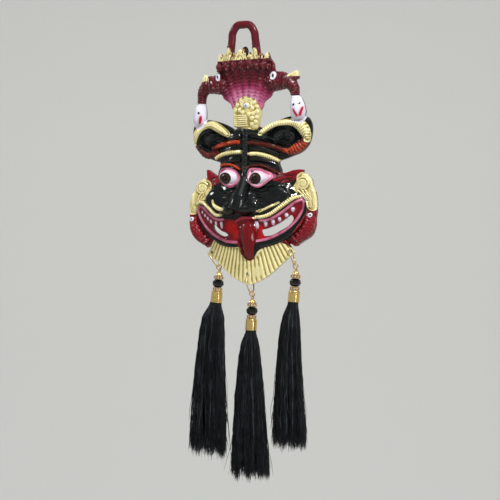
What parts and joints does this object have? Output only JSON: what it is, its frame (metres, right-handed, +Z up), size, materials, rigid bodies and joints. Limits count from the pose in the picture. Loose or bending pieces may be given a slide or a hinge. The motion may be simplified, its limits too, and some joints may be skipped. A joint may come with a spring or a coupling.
{
  "type": "kirtimukha mask",
  "caption": "Painted cast metal kirtimukha wall mask with a hanging loop, open grinning mouth, ribbed beard and black bead and thread tassels.",
  "frame": {"origin": "inside top of the hanging loop, on the loop's middle plane", "axes": "+Z up, +X to the right of someone who looks at the face, the face looks towards -Y, the flat back rim faces +Y"},
  "size_m": [0.1132, 0.0317, 0.3619],
  "materials": {
    "cast_enamel": "gloss enamel in black, maroon, pink, crimson and gold",
    "gilt_wire": "gilt, bright",
    "copper_wire": "copper toned, bright",
    "gilt_filigree": "gilt with small clear stones",
    "black_glass": "opaque faceted black glass",
    "gilt_ferrule": "polished gilt",
    "black_thread": "silky black thread"
  },
  "bodies": {
    "root": {"mask": "cast_enamel", "left_ring": "gilt_wire", "left_link": "copper_wire", "left_pin": "gilt_wire", "left_cap": "gilt_filigree", "left_upper_rondelle": "gilt_filigree", "left_bead": "black_glass", "left_lower_rondelle": "gilt_filigree", "left_ferrule": "gilt_ferrule", "left_skirt": "black_thread", "middle_ring": "gilt_wire", "middle_link": "copper_wire", "middle_pin": "gilt_wire", "middle_cap": "gilt_filigree", "middle_upper_rondelle": "gilt_filigree", "middle_bead": "black_glass", "middle_lower_rondelle": "gilt_filigree", "middle_ferrule": "gilt_ferrule", "middle_skirt": "black_thread", "right_ring": "gilt_wire", "right_link": "copper_wire", "right_pin": "gilt_wire", "right_cap": "gilt_filigree", "right_upper_rondelle": "gilt_filigree", "right_bead": "black_glass", "right_lower_rondelle": "gilt_filigree", "right_ferrule": "gilt_ferrule", "right_skirt": "black_thread"}
  },
  "joints": []
}
